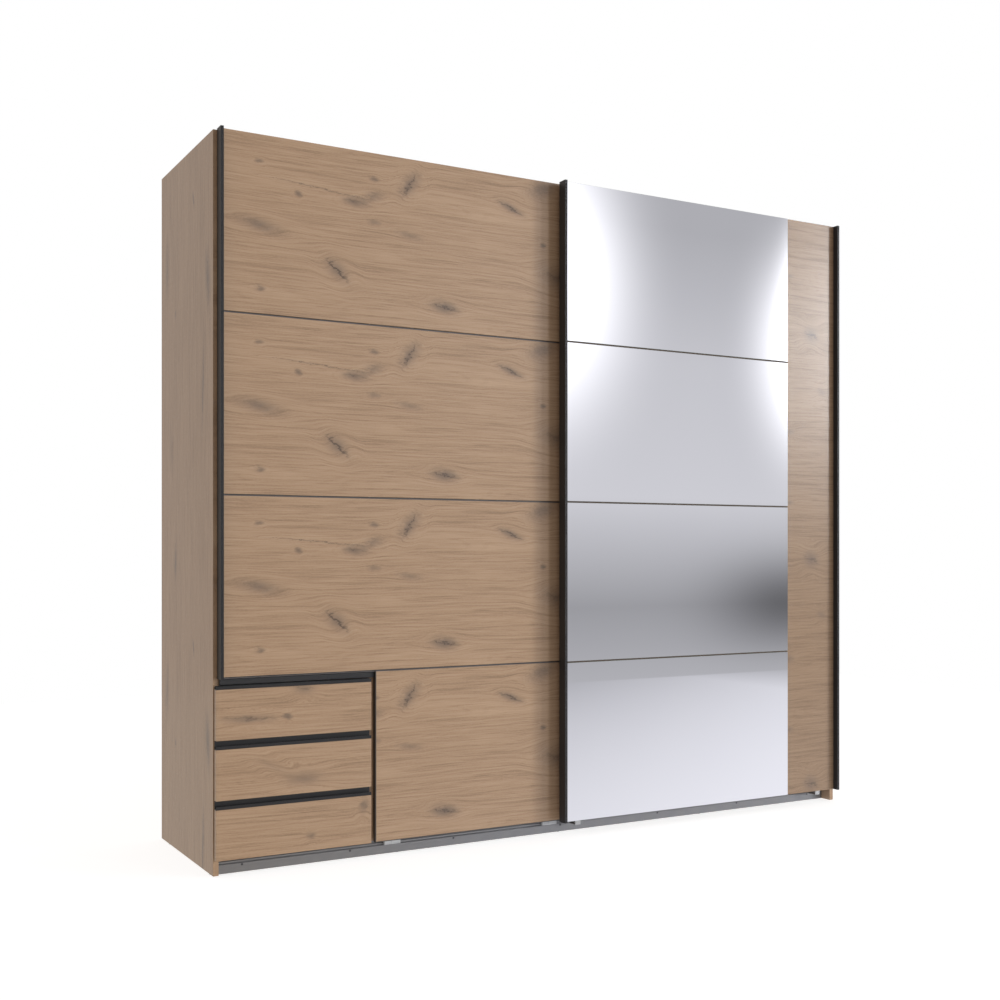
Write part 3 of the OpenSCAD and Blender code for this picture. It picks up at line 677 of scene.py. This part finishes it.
drawer_knots = {
    1: [(0.20, 0.60, 0.070, 0.011, 0.03, 0.75, 0.6), (0.45, 0.60, 0.012, 0.007, 0.0, 0.9, 0),
        (0.55, 0.05, 0.030, 0.016, 0.1, 0.7, 0.4)],
    2: [(0.55, 0.70, 0.050, 0.018, 0.0, 0.7, 0), (0.35, 0.40, 0.045, 0.012, 0.5, 0.35, 0.2)],
    3: [(0.60, 0.70, 0.012, 0.009, 0.0, 0.8, 0), (0.95, 0.20, 0.014, 0.020, 0.2, 0.75, 0.3)],
}


def pale_board(paint):
    x, y, z = object_place(paint).axes()
    return paint.noise(x * 40, y * 3, z * 60, 3.0).blend(rgb(0.58, 0.56, 0.52), rgb(0.70, 0.68, 0.64))


box_board = finish_with("pale_foiled_board", roughness=0.45, colour=pale_board, bump=powder,
                        bump_depth=0.00004)
for n in range(1, 4):
    front = f"drawer_{n}_front"
    low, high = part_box(front)
    front_knots = knots_on(low.x, high.x - low.x, high.z - low.z, drawer_knots[n])
    front_oak = oak_decor(f"oak_foil_drawer_{n}", "X", front_knots, seed=20.0 + 7 * n, repeat=(high.z, 0.5))
    stand_in(ease(add_block(*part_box(front)), 0.0006), front, front_oak)
    stand_in(ease(merged_copy(f"drawer_{n}_grip"), 0.0003), f"drawer_{n}_grip", black_coat)
    stand_in(ease(merged_copy(f"drawer_{n}_box"), 0.0004, 1), f"drawer_{n}_box", box_board)
    paint_node(f"drawer_{n}_runners", white_steel)
    paint_node(f"drawer_{n}_front_rollers", white_plastic)
    paint_node(f"drawer_{n}_rear_rollers", white_plastic)


# ---- Studio ----
# A pale floor under a painted pool of light, a key light from the right and soft boxes in front, which the
# mirrors reflect. The camera stands to the left of the wardrobe at chest height and looks level.

bpy.ops.object.select_all(action="DESELECT")
bpy.ops.mesh.primitive_plane_add(size=9, location=(0, 0, 0))
floor = bpy.context.object
floor.name = "studio_floor"
pale = bpy.data.materials.new("pale_floor")
pale.use_nodes = True
tree = pale.node_tree
tree.nodes.remove(tree.nodes["Principled BSDF"])
paint = Shade(tree)
x, y, z = object_place(paint).axes()
# The pool of light on the floor is painted: rays other than the camera's see a glow that fades away from x =
# 3.5 m and towards the front, warm on the left and faintly blue on the right. The camera sees only an even
# glow over a matt grey floor.
off_pool = paint.math("MINIMUM", paint.math("ABSOLUTE", x - 3.5), 4.6)
ahead = paint.math("MAXIMUM", -0.5 - y, 0.0)
bright = 1.16 - off_pool * 0.11 - ahead * 0.145
painted_light_pool = bright.blend(rgb(0, 0, 0), x.step(-1.2, 0.0).blend(rgb(1.0, 0.92, 0.84), rgb(1.0, 1.0, 1.05)))
painted_pool_glow = paint.node("ShaderNodeEmission", inputs={"Color": painted_light_pool, "Strength": 1.0})
matt = paint.node("ShaderNodeBsdfDiffuse", inputs={"Color": rgb(0.45, 0.45, 0.45)})
even = paint.node("ShaderNodeEmission", inputs={"Color": rgb(0.97, 0.97, 0.97), "Strength": 0.82})
seen = paint.node("ShaderNodeAddShader", inputs={0: matt, 1: even})
lit = paint.node("ShaderNodeMixShader", inputs={0: paint.node("ShaderNodeLightPath"), 1: painted_pool_glow, 2: seen})
tree.links.new(lit.socket, tree.nodes["Material Output"].inputs["Surface"])
floor.data.materials.append(pale)

# What the mirrors reflect: a grey room with two soft boxes and a dark patch.
world = bpy.data.worlds.new("studio")
bpy.context.scene.world = world
world.use_nodes = True
tree = world.node_tree
sky = Shade(tree)
x, y, z = sky.node("ShaderNodeTexCoord").axes()
ahead = sky.math("MAXIMUM", -y, 0.02)
side, rise = x / ahead, z / ahead
wall = sky.node("ShaderNodeValToRGB",
                {"stops": [(height, (grey, grey, grey * 1.04)) for height, grey in (
                    (0.0, 0.6), (0.3, 0.35), (0.5, 0.65), (0.75, 0.6), (1.0, 0.45))]},
                {0: (rise + 0.2) / 0.5})


def soft_box(at_side, at_rise, half_w, half_h, strength):
    across = (side - at_side) / half_w
    up = (rise - at_rise) / half_h
    near = sky.math("SQRT", across * across + up * up).step(1.0, 0.0)
    return near * near * strength


dim = 1.0 - soft_box(0.85, -0.05, 0.2, 0.1, 0.6)
boxes = soft_box(0.55, 0.25, 0.2, 0.25, 1.8) + soft_box(0.9, 0.2, 0.15, 0.2, 2.0)
boxes = boxes + soft_box(1.00, 0.23, 0.19, 0.25, 52.0)
around = sky.math("MAXIMUM", y.step(-0.2, 0.3), side.step(0.3, -0.5))
surround = around.blend(wall, rgb(0.60, 0.55, 0.51))
patterned = sky.node("ShaderNodeVectorMath", {"operation": "SCALE"}, {0: surround, 3: dim})
lamps = sky.node("ShaderNodeVectorMath", {"operation": "ADD"},
                 {0: patterned, 1: sky.vector(boxes, boxes, boxes * 1.02)})
backdrop = sky.node("ShaderNodeLightPath").blend(lamps, rgb(1, 1, 1))
tree.links.new(backdrop.socket, tree.nodes["Background"].inputs["Color"])

for name, place, wide, power in (("key", (20.4, -14.4, 2.0), 4.0, 2900),
                                 ("near_key", (9.2, -19.6, 2.0), 2.4, 680)):
    key_data = bpy.data.lights.new(name, "AREA")
    key_data.shape, key_data.size, key_data.size_y, key_data.energy = "RECTANGLE", wide, 7.0, power
    key = bpy.data.objects.new(name, key_data)
    bpy.context.scene.collection.objects.link(key)
    key.location = place
    key.rotation_euler = (Vector((0, 0, 1.1)) - key.location).to_track_quat("-Z", "Y").to_euler()
    key.visible_camera = key.visible_glossy = False

camera_data = bpy.data.cameras.new("camera")
camera_data.sensor_width, camera_data.lens = 36, 47.33
camera_data.shift_x, camera_data.shift_y = -0.0697, 0.0518
camera = bpy.data.objects.new("camera", camera_data)
bpy.context.scene.collection.objects.link(camera)
camera.location = (-2.152, -3.882, 0.903)
camera.rotation_euler = (math.radians(90), 0, math.radians(-30.975))
bpy.context.scene.camera = camera
bpy.context.scene.view_settings.view_transform = "Standard"
